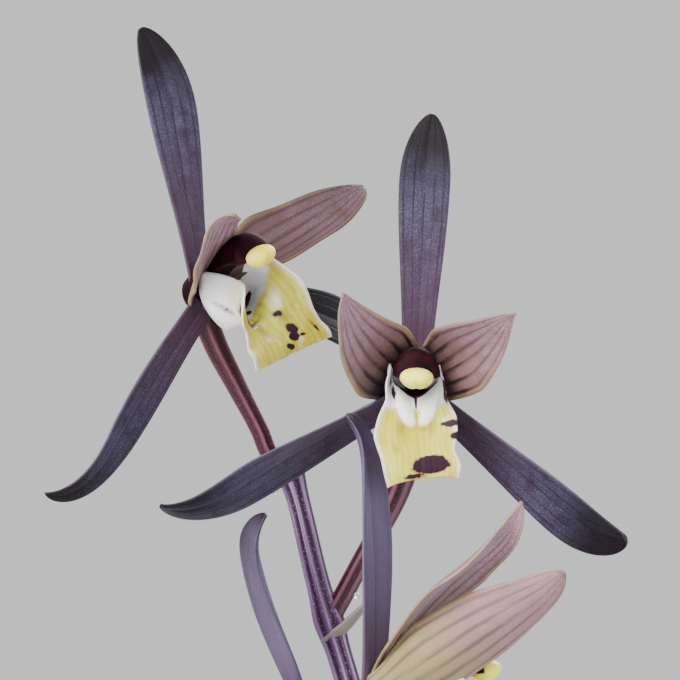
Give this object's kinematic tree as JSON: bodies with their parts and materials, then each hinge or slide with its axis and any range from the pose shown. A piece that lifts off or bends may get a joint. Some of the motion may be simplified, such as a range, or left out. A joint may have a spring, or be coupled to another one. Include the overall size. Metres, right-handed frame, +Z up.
{
  "type": "potted chinese cymbidium",
  "caption": "Potted Chinese cymbidium orchid: clay pot of bark mix, arching strap leaves and an upright spike of dark purple blooms with spotted yellow lips.",
  "frame": {"origin": "centre of the pot's flat base, on the surface that it stands on", "axes": "+Z up, along the spike; the two open top flowers face -Y"},
  "size_m": [0.59, 0.6312, 0.5924],
  "materials": {
    "pot_clay": "plain unglazed dark clay",
    "bark_mix": "damp bark chips and fibre",
    "bulb_green": "smooth green bulbs in papery sheaths",
    "leaf_green": "glossy dark green strap leaf",
    "spike_purple": "ribbed purple stem with a bloom on it",
    "tepal_purple": "velvety dark purple sepals, brown-lavender veined petals, maroon column",
    "lip_yellow": "waxy pale yellow with white sides and maroon spots",
    "pollen_cap": "waxy pale yellow"
  },
  "bodies": {
    "root": {"pot": "pot_clay", "potting_mix": "bark_mix", "pseudobulbs": "bulb_green", "leaf_1": "leaf_green", "leaf_2": "leaf_green", "leaf_3": "leaf_green", "leaf_4": "leaf_green", "leaf_5": "leaf_green", "leaf_6": "leaf_green", "leaf_7": "leaf_green", "leaf_8": "leaf_green", "leaf_9": "leaf_green", "leaf_10": "leaf_green", "leaf_11": "leaf_green", "leaf_12": "leaf_green", "flower_spike": "spike_purple", "bloom_1": "tepal_purple", "bloom_1_lip": "lip_yellow", "bloom_1_cap": "pollen_cap", "bloom_2": "tepal_purple", "bloom_2_lip": "lip_yellow", "bloom_2_cap": "pollen_cap", "bloom_3": "tepal_purple", "bloom_3_lip": "lip_yellow", "bloom_3_cap": "pollen_cap", "bloom_4": "tepal_purple", "bloom_4_lip": "lip_yellow", "bloom_4_cap": "pollen_cap", "bloom_5": "tepal_purple", "bloom_5_lip": "lip_yellow", "bloom_5_cap": "pollen_cap", "bloom_6": "tepal_purple", "bloom_6_lip": "lip_yellow", "bloom_6_cap": "pollen_cap", "bloom_7": "tepal_purple", "bloom_7_lip": "lip_yellow", "bloom_7_cap": "pollen_cap", "bloom_8": "tepal_purple", "bloom_8_lip": "lip_yellow", "bloom_8_cap": "pollen_cap"}
  },
  "joints": []
}
